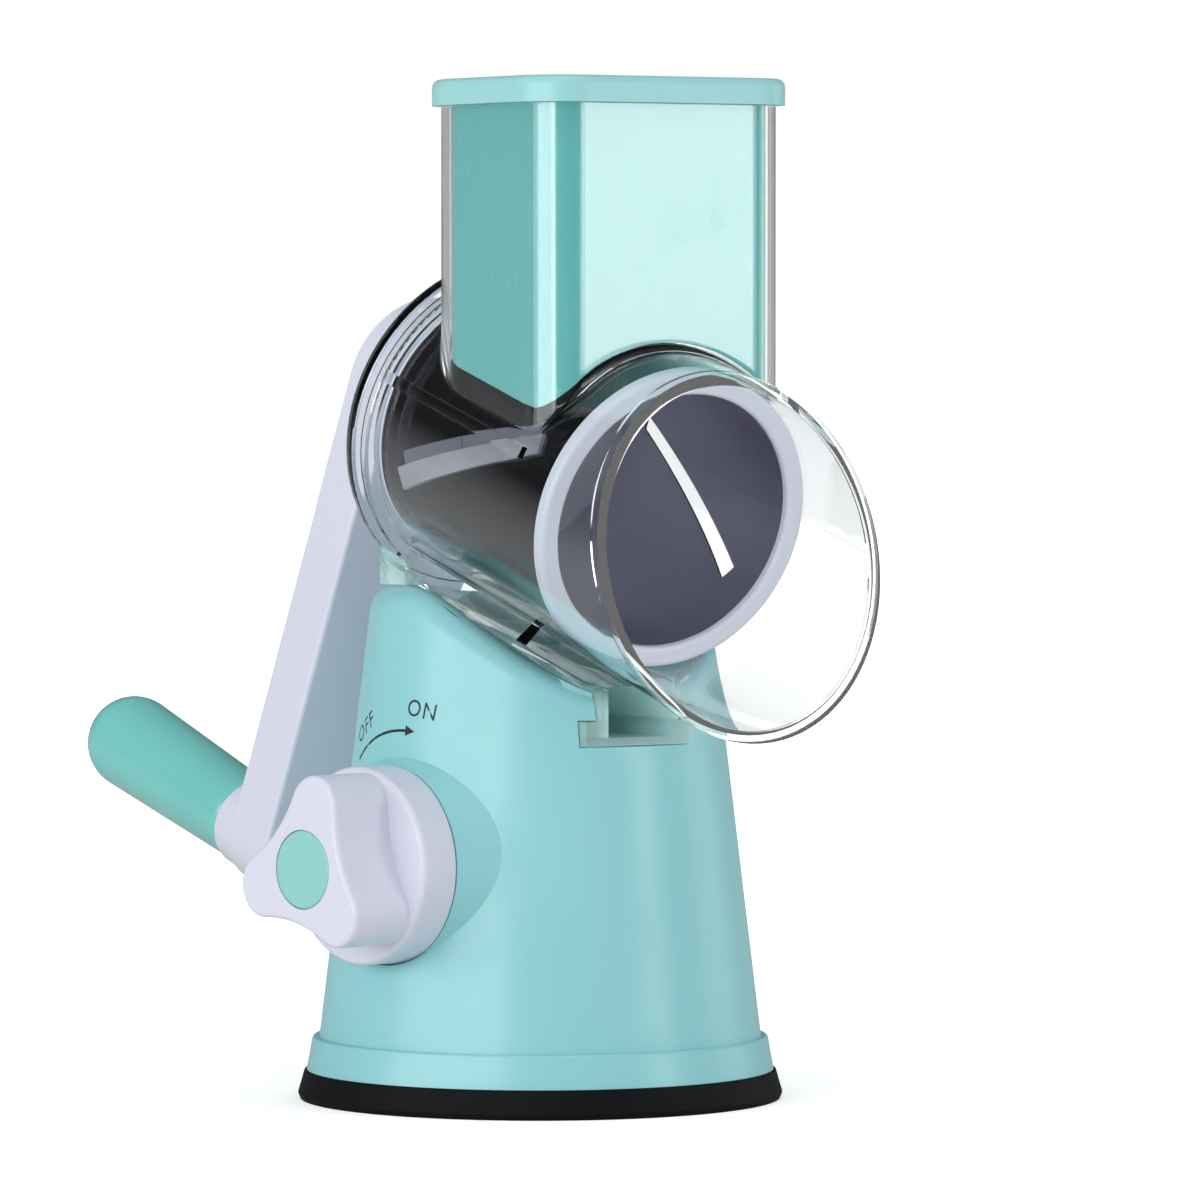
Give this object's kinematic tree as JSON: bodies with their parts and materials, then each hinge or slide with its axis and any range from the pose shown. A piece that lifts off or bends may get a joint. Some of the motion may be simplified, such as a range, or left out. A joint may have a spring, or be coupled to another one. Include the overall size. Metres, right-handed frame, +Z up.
{
  "type": "rotary cabbage shredder",
  "caption": "Hand-cranked drum shredder: tilted steel drum in a clear housing with hopper and pusher, on a suction foot with a lever knob.",
  "frame": {"origin": "middle of the foot, on the table", "axes": "+Z up, -Y towards the outlet, -X towards the lock knob, +Y towards the crank"},
  "size_m": [0.1614, 0.3062, 0.2863],
  "materials": {
    "mint_body": "satin moulded plastic, mint",
    "rubber_pad": "matt black rubber",
    "screw_steel": "bright plated steel",
    "bush_white": "low-friction plastic",
    "shaft_steel": "turned steel",
    "lilac_white": "gloss moulded plastic, cool white",
    "mint_cap": "gloss moulded plastic, mint",
    "clear_plastic": "clear moulded plastic, polished",
    "teal_pusher": "gloss moulded plastic, teal mint",
    "mint_lid": "satin moulded plastic, pale mint",
    "drum_steel": "polished stainless steel",
    "blade_steel": "ground stainless steel",
    "teal_grip": "gloss moulded plastic, teal mint"
  },
  "bodies": {
    "base": {"base_body": "mint_body", "base_ring": "mint_body", "suction_pad": "rubber_pad", "base_screws": "screw_steel", "lock_bush": "bush_white"},
    "lock": {"lock_shaft": "shaft_steel", "lock_knob": "lilac_white", "knob_cap": "mint_cap", "knob_screw": "screw_steel", "shaft_clip": "shaft_steel"},
    "lift": {"lift_stem": "shaft_steel"},
    "housing": {"drum_housing": "clear_plastic", "rear_bush": "bush_white"},
    "pusher": {"pusher_body": "teal_pusher", "pusher_cap": "mint_lid"},
    "crank": {"crank_arm": "lilac_white", "hub_cover": "lilac_white", "cover_screws": "screw_steel", "latch_spring": "shaft_steel", "grip_axle": "shaft_steel", "grip_clip": "shaft_steel", "drum_shell": "drum_steel", "slicing_blades": "blade_steel", "drum_ring": "lilac_white", "drum_hub": "lilac_white"},
    "latch": {"latch_slider": "mint_cap"},
    "grip": {"grip": "teal_grip"}
  },
  "joints": [
    {"name": "housing_slide", "type": "slide", "parent": "base", "child": "housing", "axis": [0, -1, 0], "range_m": [0, 0.01]},
    {"name": "pusher_slide", "type": "slide", "parent": "housing", "child": "pusher", "axis": [0, 0, 1], "range_m": [0, 0.08]},
    {"name": "crank_spin", "type": "hinge", "parent": "housing", "child": "crank", "pos_m": [0, 0.05218, 0.19872], "axis": [0, -0.9622, -0.2723], "continuous": true},
    {"name": "grip_spin", "type": "hinge", "parent": "crank", "child": "grip", "pos_m": [-0.03039, 0.14964, 0.08384], "axis": [0, -0.9622, -0.2723], "continuous": true},
    {"name": "latch_press", "type": "slide", "parent": "crank", "child": "latch", "axis": [-0.2164, 0.2658, -0.9394], "range_m": [0, 0.0032], "stiffness_N_per_m": 700, "springref_m": -0.001, "deforming": ["latch_spring"]},
    {"name": "lock_turn", "type": "hinge", "parent": "base", "child": "lock", "pos_m": [0, 0, 0.0686], "axis": [0.9806, 0.1959, 0], "range_deg": [0, 90]},
    {"name": "stem_lift", "type": "slide", "parent": "base", "child": "lift", "axis": [0, 0, 1], "range_m": [0, 0.00424]}
  ],
  "couplings": [
    {"joint": "lock_turn", "follows": "stem_lift", "rad_per_m": 370}
  ]
}
